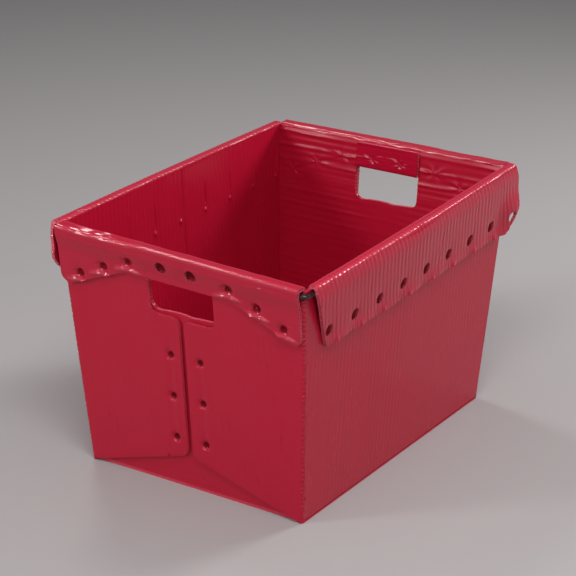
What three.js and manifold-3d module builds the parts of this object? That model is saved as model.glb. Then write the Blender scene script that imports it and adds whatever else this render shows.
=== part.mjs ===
// An open, nestable mailroom tote folded from one die-cut sheet of fluted plastic board.
// The walls lean outwards so that empty totes nest. Each end is two boards thick: the end wall,
// and outside it the two corner flaps that wrap round from the side walls. Every wall's top is
// folded out and down over a steel wire loop. Spot welds hold the folds, each one a small cup of
// fused board at the bottom of a punched hole.
// Millimetres, +Z up, origin at the middle of the underside. X runs across the tote and Y along
// it, with the handles in the front (-Y) and back (+Y) ends.
import * as THREE from "three";
import { mergeVertices } from "three/addons/utils/BufferGeometryUtils.js";
import Module from "manifold-3d";

// Driving sizes of the folded tote.
const HEIGHT = 300;
const BOARD = 4;
const GAP = 0.3;
const BASE_HALF_WIDTH = 146.5;
const BASE_HALF_LENGTH = 200.5;
const TOP_HALF_WIDTH = 166;
const TOP_HALF_LENGTH = 228;
const SIDE_SLOPE = (TOP_HALF_WIDTH - BASE_HALF_WIDTH) / HEIGHT;
const END_SLOPE = (TOP_HALF_LENGTH - BASE_HALF_LENGTH) / HEIGHT;
const WALL_BOTTOM = BOARD + GAP;
const WALL_TOP = HEIGHT - BOARD - GAP;

// Handle opening, the same in both ends.
const HANDLE_HALF_WIDTH = 44.5;
const HANDLE_TOP = 264;
const HANDLE_BOTTOM_OUTSIDE = 218;
const HANDLE_BOTTOM_INSIDE = 223;
const HANDLE_RADIUS = 13;
const TAB_TOP = 295;
const TAB_CORNER = 4;

// Corner flaps, which meet at a slot near the middle of each end.
const SLOT_HALF_WIDTH = 3.5;
const SLOT_OFFSET = 1.5;
const FLAP_INNER_BOTTOM = 45;
const FLAP_TOP = 286;
const FLAP_BOTTOM_RADIUS = 8;
const FLAP_TOP_RADIUS = 10;

// Folded rims. The side rims bulge past the wire before they meet the wall.
const SIDE_RIM_CREASE = 173.5;
const SIDE_RIM_BULGE = 176.5;
const SIDE_RIM_BULGE_TOP = 288;
const SIDE_RIM_BULGE_BOTTOM = 272;
const SIDE_RIM_LANDING = 244;
const SIDE_RIM_BOTTOM = 216;
const END_RIM_CREASE = 235;
const END_RIM_SHOULDER = 287;
const END_RIM_LANDING = 272;
const END_RIM_BOTTOM = 228;
const END_RIM_MIDDLE_BOTTOM = 262;
const END_RIM_HALF_LENGTH = 161.2;
const CUTTER_REACH = 120;

// Outlines of the folded-down flaps, along the wall from its middle.
const RIGHT_FLAP_FOOT = 183;
const LEFT_FLAP_FOOT = 214;
const SIDE_FLAP_FRONT_END = 214;
const SIDE_FLAP_SLANT_TOP = 288;
const SIDE_FLAP_BACK = 219;
const SIDE_FLAP_BACK_END = 241;
const SIDE_FLAP_CLIP_TOP = 232;
const SIDE_FLAP_TAPER_FOOT = 274;
const END_FLAP_SHALLOW = 72;
const END_FLAP_DEEP = 153;
const END_FLAP_CORNER = 160;
const END_FLAP_CORNER_RISE = 6;

// Steel wire inside the rim.
const WIRE_RADIUS = 2.4;
const WIRE_HEIGHT = 291;
const WIRE_HALF_WIDTH = 168.4;
const WIRE_HALF_LENGTH = 228.3;
const WIRE_BEND = 8;
const WIRE_BEND_STEPS = 5;
const WIRE_END_GAP = 1;

// Spot welds: punched holes and the fused cups in them.
const RIM_HOLE_RADIUS = 7;
const END_HOLE_RADIUS = 5;
const FLAP_HOLE_RADIUS = 4.5;
const RIGHT_HOLE_FIRST = -181.5;
const LEFT_HOLE_FIRST = -203.5;
const SIDE_HOLE_PITCH = 51.5;
const SIDE_HOLE_COUNT = 9;
const SIDE_WELD_COUNT = 8;
const SIDE_HOLE_HEIGHT = 236;
const END_WELD_PLACES = [
  { along: 20, height: 280 },
  { along: 67, height: 275 },
  { along: 103, height: 261 },
  { along: 137, height: 245 },
];
const FLAP_WELD_ALONG = 20;
const FLAP_WELD_HEIGHTS = [65, 118, 170];
const CUP_HEIGHT = 3;
const CUP_FLOOR = 1.2;
const CUP_WELL = 0.55;
const CUP_SIDES = 12;
const HOLE_SIDES = 16;
const CURVE_STEPS = 4;

const wasm = await Module();
wasm.setup();

/** The geometry as a manifold-3d solid. */
function solidOf(geometry) {
  const bare = geometry.clone();
  bare.deleteAttribute("normal");
  bare.deleteAttribute("uv");
  const merged = mergeVertices(bare, 1e-3);
  return new wasm.Manifold(
    new wasm.Mesh({
      numProp: 3,
      vertProperties: new Float32Array(merged.attributes.position.array),
      triVerts: new Uint32Array(merged.index.array),
    }),
  );
}

/** A manifold-3d solid as a three.js geometry. */
function geometryOf(solid) {
  const made = solid.getMesh();
  const geometry = new THREE.BufferGeometry();
  geometry.setAttribute("position", new THREE.BufferAttribute(made.vertProperties, 3));
  geometry.setIndex(new THREE.BufferAttribute(made.triVerts, 1));
  geometry.computeVertexNormals();
  return geometry;
}

function boardMaterial() {
  return new THREE.MeshStandardMaterial({ color: 0xae1830, roughness: 0.35, metalness: 0 });
}

function weldMaterial() {
  return new THREE.MeshStandardMaterial({ color: 0x5a0a16, roughness: 0.3, metalness: 0 });
}

function wireMaterial() {
  return new THREE.MeshStandardMaterial({ color: 0x161616, roughness: 0.4, metalness: 0.6 });
}

function named(name, geometry, material) {
  const mesh = new THREE.Mesh(geometry, material);
  mesh.name = name;
  return mesh;
}

/** A closed outline through corners { x, y, round }, each corner rounded by its own radius. */
function outline(corners) {
  const shape = new THREE.Shape();
  corners.forEach((corner, i) => {
    const here = new THREE.Vector2(corner.x, corner.y);
    const last = corners[(i + corners.length - 1) % corners.length];
    const next = corners[(i + 1) % corners.length];
    const reach = corner.round ?? 0;
    const back = new THREE.Vector2(last.x, last.y).sub(here).setLength(reach).add(here);
    const ahead = new THREE.Vector2(next.x, next.y).sub(here).setLength(reach).add(here);
    if (i === 0) shape.moveTo(back.x, back.y);
    else shape.lineTo(back.x, back.y);
    if (reach > 0) shape.quadraticCurveTo(here.x, here.y, ahead.x, ahead.y);
  });
  shape.closePath();
  return shape;
}

/** The corners as they are for hand 1, or mirrored across the wall's middle for hand -1. */
function handed(corners, hand) {
  if (hand > 0) return corners;
  return corners.map((corner) => ({ ...corner, x: -corner.x })).reverse();
}

// Each wall is built in its own frame: X along the wall, Y outwards from the tote's middle,
// Z up. A wall group then turns it to its side of the tote.

/** A leaning board: its outer face is at `base` on the ground and moves out by `slope`. */
function leaningBoard(shape, base, slope, thickness = BOARD) {
  const geometry = new THREE.ExtrudeGeometry(shape, {
    depth: thickness,
    bevelEnabled: false,
    curveSegments: CURVE_STEPS,
  });
  geometry.rotateX(Math.PI / 2);
  const lean = new THREE.Matrix4().set(1, 0, 0, 0, 0, 1, slope, base, 0, 0, 1, 0, 0, 0, 0, 1);
  return geometry.applyMatrix4(lean);
}

/** A cylinder or cup across a leaning wall, with its foot `lift` off the wall's outer face. */
function acrossWall(geometry, along, height, base, slope, lift) {
  const tilt = Math.atan(slope);
  geometry.translate(0, lift, 0);
  geometry.rotateX(-tilt);
  geometry.translate(along, base + slope * height, height);
  return geometry;
}

/** The cutter for one punched hole. */
function holeCutter(along, height, radius, base, slope) {
  const cylinder = new THREE.CylinderGeometry(radius, radius, CUTTER_REACH / 2, HOLE_SIDES);
  return solidOf(acrossWall(cylinder, along, height, base, slope, CUTTER_REACH / 4));
}

/** A board with its holes cut. */
function punched(board, holes) {
  return geometryOf(holes.reduce((solid, hole) => solid.subtract(hole), board));
}

/** One spot weld: a shallow cup that fills the foot of its hole. */
function weldCup(name, along, height, holeRadius, base, slope) {
  const radius = holeRadius - GAP;
  const profile = [
    new THREE.Vector2(0, 0),
    new THREE.Vector2(radius, 0),
    new THREE.Vector2(radius, CUP_HEIGHT),
    new THREE.Vector2(radius * CUP_WELL, CUP_FLOOR),
    new THREE.Vector2(0, CUP_FLOOR),
  ];
  const cup = new THREE.LatheGeometry(profile, CUP_SIDES);
  return named(name, acrossWall(cup, along, height, base, slope, GAP), weldMaterial());
}

function bottomPanel() {
  const length = 2 * (BASE_HALF_LENGTH - BOARD - GAP);
  const board = new THREE.BoxGeometry(2 * BASE_HALF_WIDTH, length, BOARD);
  const mesh = named("bottom_panel", board, boardMaterial());
  mesh.position.z = BOARD / 2;
  return mesh;
}

/** A four-sided wall whose two ends lean apart by `endSlope`. */
function wallOutline(halfAtGround, endSlope) {
  const low = halfAtGround + endSlope * WALL_BOTTOM;
  const high = halfAtGround + endSlope * WALL_TOP;
  return outline([
    { x: -low, y: WALL_BOTTOM },
    { x: low, y: WALL_BOTTOM },
    { x: high, y: WALL_TOP },
    { x: -high, y: WALL_TOP },
  ]);
}

/** The handle opening in an end wall. */
function handleHole() {
  return outline([
    { x: -HANDLE_HALF_WIDTH, y: HANDLE_BOTTOM_INSIDE, round: HANDLE_RADIUS },
    { x: -HANDLE_HALF_WIDTH, y: HANDLE_TOP },
    { x: HANDLE_HALF_WIDTH, y: HANDLE_TOP },
    { x: HANDLE_HALF_WIDTH, y: HANDLE_BOTTOM_INSIDE, round: HANDLE_RADIUS },
  ]);
}

function sideWall(name) {
  const shape = wallOutline(BASE_HALF_LENGTH - BOARD - GAP, END_SLOPE);
  return named(name, leaningBoard(shape, BASE_HALF_WIDTH, SIDE_SLOPE), boardMaterial());
}

function endWall(name) {
  const shape = wallOutline(BASE_HALF_WIDTH - BOARD - GAP, SIDE_SLOPE);
  shape.holes.push(handleHole());
  const base = BASE_HALF_LENGTH - BOARD - GAP;
  return named(name, leaningBoard(shape, base, END_SLOPE), boardMaterial());
}

/** The tab cut from the handle opening and folded up against the inside of the end wall. */
function handleTab(name) {
  const half = HANDLE_HALF_WIDTH - GAP;
  const shape = outline([
    { x: -half, y: HANDLE_TOP + GAP },
    { x: half, y: HANDLE_TOP + GAP },
    { x: half, y: TAB_TOP, round: TAB_CORNER },
    { x: -half, y: TAB_TOP, round: TAB_CORNER },
  ]);
  const base = BASE_HALF_LENGTH - 2 * (BOARD + GAP);
  return named(name, leaningBoard(shape, base, END_SLOPE), boardMaterial());
}

/** A corner flap on the `hand` (-1 or 1) side of an end: a C round half the handle opening. */
function cornerFlap(name, hand) {
  const slot = SLOT_HALF_WIDTH + hand * SLOT_OFFSET;
  const corners = [
    { x: BASE_HALF_WIDTH, y: 0 },
    { x: BASE_HALF_WIDTH + SIDE_SLOPE * FLAP_TOP, y: FLAP_TOP },
    { x: slot, y: FLAP_TOP },
    { x: slot, y: HANDLE_TOP },
    { x: HANDLE_HALF_WIDTH, y: HANDLE_TOP },
    { x: HANDLE_HALF_WIDTH, y: HANDLE_BOTTOM_OUTSIDE, round: HANDLE_RADIUS },
    { x: slot, y: HANDLE_BOTTOM_OUTSIDE, round: FLAP_TOP_RADIUS },
    { x: slot, y: FLAP_INNER_BOTTOM, round: FLAP_BOTTOM_RADIUS },
  ];
  const board = leaningBoard(outline(handed(corners, hand)), BASE_HALF_LENGTH, END_SLOPE);
  const base = BASE_HALF_LENGTH - BOARD - GAP;
  const holes = FLAP_WELD_HEIGHTS.map((height) =>
    holeCutter(hand * FLAP_WELD_ALONG, height, FLAP_HOLE_RADIUS, base, END_SLOPE),
  );
  return named(name, punched(solidOf(board), holes), boardMaterial());
}

/** A folded rim: the bent board's section run along the wall, then cut to the flap's outline. */
function foldedRim(section, flapOutline, holes) {
  const run = new THREE.ExtrudeGeometry(outline(section), {
    depth: 2 * WIRE_HALF_LENGTH + CUTTER_REACH,
    bevelEnabled: false,
  });
  const alongWall = new THREE.Matrix4().makeBasis(
    new THREE.Vector3(0, 1, 0),
    new THREE.Vector3(0, 0, 1),
    new THREE.Vector3(1, 0, 0),
  );
  run.translate(0, 0, -WIRE_HALF_LENGTH - CUTTER_REACH / 2);
  run.applyMatrix4(alongWall);
  const blank = leaningBoard(outline(flapOutline), SIDE_RIM_BULGE + CUTTER_REACH, 0, 2 * CUTTER_REACH);
  return punched(solidOf(run).intersect(solidOf(blank)), holes);
}

/** The rim's section: from the wall's inner face, over the wire, and down to the landing. */
function rimSection(wallBase, slope, outer) {
  const inner = wallBase + slope * HEIGHT - BOARD;
  const outside = outer.map(([x, y]) => ({ x, y }));
  const inside = outer.map(([x, y]) => ({ x: x - BOARD, y: Math.min(y, HEIGHT - BOARD) }));
  return [{ x: inner, y: HEIGHT }, ...outside, ...inside.reverse(), { x: inner, y: HEIGHT - BOARD }];
}

/** The punched holes along a side rim, from its tucked end to its clipped end. */
function sideHolePlaces(first) {
  return Array.from({ length: SIDE_HOLE_COUNT }, (_, i) => -(first + i * SIDE_HOLE_PITCH));
}

/** A side rim. One end is cut down to its foot; the other sticks out and has a clipped corner. */
function sideRim(name, foot, holePlaces) {
  const landing = (height) => BASE_HALF_WIDTH + SIDE_SLOPE * height + GAP + BOARD;
  const section = rimSection(BASE_HALF_WIDTH, SIDE_SLOPE, [
    [SIDE_RIM_CREASE, HEIGHT],
    [SIDE_RIM_BULGE, SIDE_RIM_BULGE_TOP],
    [SIDE_RIM_BULGE, SIDE_RIM_BULGE_BOTTOM],
    [landing(SIDE_RIM_LANDING), SIDE_RIM_LANDING],
    [landing(SIDE_RIM_BOTTOM), SIDE_RIM_BOTTOM],
  ]);
  const flap = [
    { x: -SIDE_FLAP_FRONT_END, y: HEIGHT + BOARD },
    { x: -SIDE_FLAP_FRONT_END, y: SIDE_FLAP_SLANT_TOP },
    { x: -foot, y: SIDE_RIM_BOTTOM - BOARD },
    { x: SIDE_FLAP_BACK, y: SIDE_RIM_BOTTOM - BOARD },
    { x: SIDE_FLAP_BACK_END, y: SIDE_FLAP_CLIP_TOP },
    { x: SIDE_FLAP_BACK_END, y: SIDE_FLAP_TAPER_FOOT },
    { x: WIRE_HALF_LENGTH, y: HEIGHT + BOARD },
  ];
  const holes = holePlaces.map((along) =>
    holeCutter(along, SIDE_HOLE_HEIGHT, RIM_HOLE_RADIUS, BASE_HALF_WIDTH, SIDE_SLOPE),
  );
  return named(name, foldedRim(section, handed(flap, -1), holes), boardMaterial());
}

/** An end rim. Its flap is shallow over the handle and deep at the two corners. */
function endRim(name) {
  const landing = (height) => BASE_HALF_LENGTH + END_SLOPE * height + GAP + BOARD;
  const section = rimSection(BASE_HALF_LENGTH - BOARD - GAP, END_SLOPE, [
    [END_RIM_CREASE, HEIGHT],
    [END_RIM_CREASE, END_RIM_SHOULDER],
    [landing(END_RIM_LANDING), END_RIM_LANDING],
    [landing(END_RIM_BOTTOM), END_RIM_BOTTOM],
  ]);
  const half = [
    { x: END_FLAP_SHALLOW, y: END_RIM_MIDDLE_BOTTOM },
    { x: END_FLAP_DEEP, y: END_RIM_BOTTOM },
    { x: END_FLAP_CORNER, y: END_RIM_BOTTOM + END_FLAP_CORNER_RISE },
    { x: END_RIM_HALF_LENGTH, y: HEIGHT + BOARD },
  ];
  const holes = endWeldPlaces().map(({ along, height, radius }) =>
    holeCutter(along, height, radius, BASE_HALF_LENGTH, END_SLOPE),
  );
  const flap = [...half, ...handed(half, -1)];
  return named(name, foldedRim(section, flap, holes), boardMaterial());
}

/** The end rim's welds: two round ones over the handle and three smaller ones on each side. */
function endWeldPlaces() {
  const places = END_WELD_PLACES.map((place, i) => ({
    ...place,
    radius: i === 0 ? RIM_HOLE_RADIUS : END_HOLE_RADIUS,
  }));
  const mirrored = places.map((place) => ({ ...place, along: -place.along }));
  return [...mirrored.reverse(), ...places];
}

/** A path that spends its steps where it bends: each stretch has its own number of steps. */
class SteppedPath extends THREE.Curve {
  constructor(stretches) {
    super();
    this.stretches = stretches;
    this.steps = stretches.reduce((sum, stretch) => sum + stretch.steps, 0);
  }

  getPoint(t) {
    let station = t * this.steps;
    for (const { curve, steps } of this.stretches) {
      if (station <= steps) return curve.getPoint(station / steps);
      station -= steps;
    }
    return this.stretches.at(-1).curve.getPoint(1);
  }

  getPointAt(u) {
    return this.getPoint(u);
  }

  getTangentAt(u) {
    return this.getTangent(u);
  }
}

/** The wire loop, bent from one length whose ends nearly meet in the middle of the back rim. */
function rimWire() {
  const place = (x, y) => new THREE.Vector3(x, y, WIRE_HEIGHT);
  const quarter = [
    [1, 1],
    [1, -1],
    [-1, -1],
    [-1, 1],
  ];
  const stretches = [];
  let from = place(WIRE_END_GAP / 2, WIRE_HALF_LENGTH);
  quarter.forEach(([sideX, sideY], i) => {
    const corner = place(sideX * WIRE_HALF_WIDTH, sideY * WIRE_HALF_LENGTH);
    const acrossX = place(corner.x - sideX * WIRE_BEND, corner.y);
    const acrossY = place(corner.x, corner.y - sideY * WIRE_BEND);
    const [start, end] = i % 2 === 0 ? [acrossX, acrossY] : [acrossY, acrossX];
    stretches.push({ curve: new THREE.LineCurve3(from, start), steps: 1 });
    stretches.push({
      curve: new THREE.QuadraticBezierCurve3(start, corner, end),
      steps: WIRE_BEND_STEPS,
    });
    from = end;
  });
  const end = place(-WIRE_END_GAP / 2, WIRE_HALF_LENGTH);
  stretches.push({ curve: new THREE.LineCurve3(from, end), steps: 1 });
  const path = new SteppedPath(stretches);
  const section = new THREE.Shape().absarc(0, 0, WIRE_RADIUS, 0, 2 * Math.PI);
  const wire = new THREE.ExtrudeGeometry(section, {
    steps: path.steps,
    extrudePath: path,
    curveSegments: CURVE_STEPS,
  });
  return named("rim_wire", wire, wireMaterial());
}

/** One long side: wall, folded rim and the welds along it. The last hole has no weld. */
function sideGroup(side, foot, firstHole, turn) {
  const group = new THREE.Group();
  const holePlaces = sideHolePlaces(firstHole);
  group.rotation.z = turn;
  group.add(sideWall("side_wall_" + side));
  group.add(sideRim("rim_flap_" + side, foot, holePlaces));
  holePlaces
    .slice(0, SIDE_WELD_COUNT)
    .forEach((along, i) => {
      const name = "weld_rim_" + side + "_" + (i + 1);
      group.add(weldCup(name, along, SIDE_HOLE_HEIGHT, RIM_HOLE_RADIUS, BASE_HALF_WIDTH, SIDE_SLOPE));
    });
  return group;
}

/** One handle end: end wall, handle tab, two corner flaps, folded rim and their welds. */
function endGroup(end, leftHand, turn) {
  const group = new THREE.Group();
  group.rotation.z = turn;
  group.add(endWall("end_wall_" + end));
  group.add(handleTab("handle_tab_" + end));
  group.add(cornerFlap("corner_flap_" + end + "_left", leftHand));
  group.add(cornerFlap("corner_flap_" + end + "_right", -leftHand));
  group.add(endRim("rim_flap_" + end));
  endWeldPlaces().forEach(({ along, height, radius }, i) => {
    const name = "weld_rim_" + end + "_" + (i + 1);
    group.add(weldCup(name, along, height, radius, BASE_HALF_LENGTH, END_SLOPE));
  });
  const base = BASE_HALF_LENGTH - BOARD - GAP;
  let count = 0;
  for (const hand of [leftHand, -leftHand]) {
    for (const height of FLAP_WELD_HEIGHTS) {
      count += 1;
      const name = "weld_flap_" + end + "_" + count;
      group.add(weldCup(name, hand * FLAP_WELD_ALONG, height, FLAP_HOLE_RADIUS, base, END_SLOPE));
    }
  }
  return group;
}

const tote = new THREE.Group();
tote.add(bottomPanel());
tote.add(sideGroup("right", RIGHT_FLAP_FOOT, RIGHT_HOLE_FIRST, -Math.PI / 2));
tote.add(sideGroup("left", LEFT_FLAP_FOOT, LEFT_HOLE_FIRST, Math.PI / 2));
tote.add(endGroup("front", 1, Math.PI));
tote.add(endGroup("back", -1, 0));
tote.add(rimWire());

export default tote;
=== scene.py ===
"""An open nesting tote folded from red fluted plastic board, built round its CAD frame.

Every board is a real sheet: two skins over flutes, with the open flute cells along its cut
edges, crushed where it is folded and pitted where it is spot welded. The script works in
millimetres and makes each mesh in metres. Each wall has its own frame: u runs along the wall,
z up and "out" away from the middle of the tote.
"""

import math
from types import SimpleNamespace

import bpy
import numpy as np
from mathutils import Matrix, Vector
from mathutils.geometry import delaunay_2d_cdt
from mathutils.kdtree import KDTree


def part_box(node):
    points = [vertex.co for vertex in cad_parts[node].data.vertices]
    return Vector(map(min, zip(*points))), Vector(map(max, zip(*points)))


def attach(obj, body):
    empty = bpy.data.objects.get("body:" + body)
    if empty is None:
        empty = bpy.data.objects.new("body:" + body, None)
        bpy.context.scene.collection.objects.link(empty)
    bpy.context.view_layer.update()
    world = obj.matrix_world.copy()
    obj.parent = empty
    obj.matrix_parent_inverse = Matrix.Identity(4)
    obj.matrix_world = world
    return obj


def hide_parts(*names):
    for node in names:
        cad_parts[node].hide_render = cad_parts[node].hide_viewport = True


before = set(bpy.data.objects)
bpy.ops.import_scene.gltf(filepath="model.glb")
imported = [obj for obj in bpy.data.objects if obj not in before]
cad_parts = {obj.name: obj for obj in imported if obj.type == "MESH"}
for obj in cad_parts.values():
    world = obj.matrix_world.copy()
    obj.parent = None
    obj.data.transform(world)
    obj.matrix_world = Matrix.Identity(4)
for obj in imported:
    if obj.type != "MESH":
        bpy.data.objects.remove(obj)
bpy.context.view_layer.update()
MM = 0.001


# ------------------------------ sizes from the frame

def corners(node):
    """A CAD node's lowest and highest corners, in millimetres."""
    low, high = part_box(node)
    return np.array(low) / MM, np.array(high) / MM


BOTTOM = corners("bottom_panel")
SIDE = corners("side_wall_right")
END = corners("end_wall_back")
SIDE_RIM = corners("rim_flap_right")
END_RIM = corners("rim_flap_back")
TAB = corners("handle_tab_back")
WIRE = corners("rim_wire")

BOARD = BOTTOM[1][2]
GAP = SIDE[0][2] - BOARD
WALL_BOTTOM = SIDE[0][2]
WALL_TOP = SIDE[1][2]
HEIGHT = SIDE_RIM[1][2]
SIDE_BASE = BOTTOM[1][0]
SIDE_SLOPE = (SIDE[1][0] - SIDE_BASE) / WALL_TOP
END_BASE = BOTTOM[1][1]
END_SLOPE = (END[1][1] - END_BASE) / WALL_TOP
SHELL_BASE = END_BASE + BOARD + GAP
WIRE_RADIUS = (WIRE[1][2] - WIRE[0][2]) / 2
WIRE_HEIGHT = WIRE[1][2] - WIRE_RADIUS
WIRE_X = WIRE[1][0] - WIRE_RADIUS
WIRE_Y = WIRE[1][1] - WIRE_RADIUS
WIRE_BEND = 8
HALF_RIM = WIRE_Y
END_RIM_HALF = END_RIM[1][0]

# Hand holes and the slot between the corner flaps.
HAND_HALF = TAB[1][0] + GAP
HAND_TOP = TAB[0][2] - GAP
HAND_INSIDE = HAND_TOP - 41
HAND_OUTSIDE = HAND_TOP - 46
HAND_ROUND = 13
SLOT_TOP_ROUND = 10
SLOT_FOOT_ROUND = 8
SLOT_FOOT = 45
FLAP_TOP = HEIGHT - 14

# Folded rims: the width of the fold's top and how far down the flaps reach.
SIDE_BULGE = SIDE_RIM[1][0]
SIDE_CREASE = SIDE_BULGE - 3
SIDE_RIM_LOW = SIDE_RIM[0][2]
END_CREASE = END_RIM[1][1]
END_RIM_LOW = END_RIM[0][2]
END_RIM_MIDDLE = HAND_TOP - 2
END_SHALLOW = 72
END_DEEP = 153

# Side flaps: the heights where their ends turn, how far the free end hangs out, the slope of
# the folds, and how much closer the last hole sits than the others.
TUCKED_END = SIDE_RIM[0][1]
FREE_END = SIDE_RIM[1][1]
SLANT_TOP = 288
TAPER_FOOT = 274
LOOSE_LIFT = 7
FOLD_LEAN = 0.22
LAST_HOLE_SHIFT = 6

# Each side flap, with u turned so that it runs from the tucked end to the free end.
SIDE_FLAPS = {
    "right": SimpleNamespace(hand=1, tucked_end=TUCKED_END, foot=-183, low_end=216,
                             clip_height=243, free_end=FREE_END - 3,
                             inner_round=2.8, outer_round=5, inner_folds=0.3, outer_folds=0.7),
    "left": SimpleNamespace(hand=-1, tucked_end=TUCKED_END - 8, foot=-217, low_end=198,
                            clip_height=258, free_end=FREE_END - 10,
                            inner_round=4.8, outer_round=4, inner_folds=1.0, outer_folds=0.3),
}

# The board's flutes and the puckers that they make in a fold.
FLUTE = 3.9
PUCKER = 2 * FLUTE
STEP = FLUTE / 4
RIB = 8.3
CELL_DEPTH = 1.6
SHARP_ANGLE = 38

# Spot welds: punched holes and smaller pits, and how far from the middle of an end rim the
# holes give way to pits.
PUNCH_RADIUS = 7
PIT_RADIUS = 3.4
PUNCHED_REACH = 40

# How the folded rim sits out of true: the lift of each corner, and the sides' bow.
CORNER_LIFT = {(-1, -1): 2.8, (1, -1): -5.5, (1, 1): 4.1, (-1, 1): -1.5}
SIDE_BOW = 2.2


# ------------------------------ small maths

def noise(x, y, seed=1):
    """Smooth random values from -1 to 1 over the plane, the same in each run."""
    size = 64
    table = np.random.RandomState(seed).uniform(-1, 1, (size, size))
    x, y = np.broadcast_arrays(np.asarray(x, float), np.asarray(y, float))
    column, row = np.floor(x).astype(int), np.floor(y).astype(int)
    a, b = x - column, y - row
    a, b = a * a * (3 - 2 * a), b * b * (3 - 2 * b)
    column, row = column % size, row % size
    right, up = (column + 1) % size, (row + 1) % size
    low = table[column, row] * (1 - a) + table[right, row] * a
    high = table[column, up] * (1 - a) + table[right, up] * a
    return low * (1 - b) + high * b


def smooth(x, low, high):
    """0 below low, 1 above high, with a smooth rise between."""
    t = np.clip((x - low) / (high - low), 0, 1)
    return t * t * (3 - 2 * t)


def hump(x, width):
    return np.exp(-(x / width) ** 2)


def tent(x, width):
    """A sharp-topped ridge, 1 at 0 and 0 beyond width."""
    return np.clip(1 - np.abs(x) / width, 0, 1)


def bend(start, corner, end, share):
    """Points round a bend between two straights, for shares from 0 to 1."""
    t = np.asarray(share)[:, None]
    return (1 - t) ** 2 * start + 2 * t * (1 - t) * corner + t * t * end


def settle(points):
    """The rim's twist and bow: nothing moves at the floor, and most at the rim."""
    x, y, z = points.T
    share = np.clip(z / HEIGHT, 0, 1.1)
    across = np.clip(x / WIRE_X, -1.05, 1.05)
    along = np.clip(y / WIRE_Y, -1.05, 1.05)
    lift = np.zeros_like(x)
    for (side, end), height in CORNER_LIFT.items():
        lift += height * (1 + side * across) * (1 + end * along) / 4
    bow = SIDE_BOW * (0.35 - along ** 2) * across ** 3 * share ** 2
    return np.stack([x + bow, y, z + lift * share ** 1.5], 1)


def place(wall, u, out, z):
    """Wall coordinates to the tote's own, as an array of points."""
    u, out, z = np.broadcast_arrays(u, -out if wall in ("left", "front") else out, z)
    return np.stack([out, u, z] if wall in ("left", "right") else [u, out, z], 1)


def weld_places(prefix):
    """Where the CAD's spot welds of that prefix are, as (name, u, z) in their wall's frame."""
    found = []
    for name in sorted(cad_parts):
        if name.startswith(prefix):
            low, high = corners(name)
            middle = (low + high) / 2
            along = middle[0] if "front" in name or "back" in name else middle[1]
            found.append((name, along, middle[2]))
    return found


def weld_spots(prefix):
    return [(u, z) for _, u, z in weld_places(prefix)]


# ------------------------------ sheets

def rounded(points):
    """A closed outline through (x, y, radius) corners, each rounded by its own radius."""
    out = []
    count = len(points)
    for i, (x, y, radius) in enumerate(points):
        here = np.array([x, y], float)
        if radius == 0:
            out.append(here)
            continue
        back = np.array(points[i - 1][:2], float) - here
        ahead = np.array(points[(i + 1) % count][:2], float) - here
        start = here + back / np.linalg.norm(back) * radius
        end = here + ahead / np.linalg.norm(ahead) * radius
        out += list(bend(start, here, end, np.linspace(0, 1, 9)))
    return np.array(out)


def circle(x, y, radius, ragged=0.0, seed=5):
    angle = np.linspace(0, 2 * math.pi, 49)[:-1]
    reach = radius * (1 + ragged * noise(3 * np.cos(angle) + x, 3 * np.sin(angle) + y, seed))
    return np.stack([x + reach * np.cos(angle), y + reach * np.sin(angle)], 1)


def densify(loop, step):
    """The same closed outline with points no further apart than step."""
    out = []
    for here, ahead in zip(loop, np.roll(loop, -1, 0)):
        parts = max(1, int(math.ceil(np.linalg.norm(ahead - here) / step)))
        out += [here + (ahead - here) * k / parts for k in range(parts)]
    return np.array(out)


def inside(points, loop):
    """Which points are inside a closed outline."""
    x, y = points[:, 0][:, None], points[:, 1][:, None]
    x0, y0 = loop[:, 0], loop[:, 1]
    x1, y1 = np.roll(x0, -1), np.roll(y0, -1)
    run = np.where(y1 == y0, 1, y1 - y0)
    crossing = ((y0 > y) != (y1 > y)) & (x < x0 + (y - y0) * (x1 - x0) / run)
    return crossing.sum(1) % 2 == 1


def within(points, loops):
    """Which points are inside the first outline and outside the others."""
    held = inside(points, loops[0])
    for hole in loops[1:]:
        held &= ~inside(points, hole)
    return held


def lattice(loop, across, steps, patches=()):
    """Grid points: close together across the flutes, further apart along them.

    steps is (across, along) in millimetres, or a list of stations for the second. A patch is
    (u, v, reach, step): a disc of closer points.
    """
    low, high = loop.min(0), loop.max(0)
    other = 1 - across
    fine = np.arange(math.floor(low[across] / steps[0]), high[across] / steps[0] + 1) * steps[0]
    if np.isscalar(steps[1]):
        coarse = np.arange(low[other], high[other], steps[1])
    else:
        coarse = np.array(steps[1])
    a, b = [g.ravel() for g in np.meshgrid(fine, coarse)]
    grid = np.stack([a, b] if across == 0 else [b, a], 1)
    for u, v, reach, step in patches:
        grid = grid[np.hypot(*(grid - (u, v)).T) > reach]
        side = np.arange(-reach, reach + step / 2, step)
        a, b = [g.ravel() for g in np.meshgrid(side, side)]
        disc = np.stack([a, b], 1)[np.hypot(a, b) <= reach]
        grid = np.concatenate([grid, disc + (u, v)])
    return grid


def clear_of(grid, edge_points, gap):
    """The grid points that are further than gap from every edge point."""
    tree = KDTree(len(edge_points))
    for i, point in enumerate(edge_points):
        tree.insert((point[0], point[1], 0), i)
    tree.balance()
    return np.array([p for p in grid if tree.find((p[0], p[1], 0))[2] > gap]).reshape(-1, 2)


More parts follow.
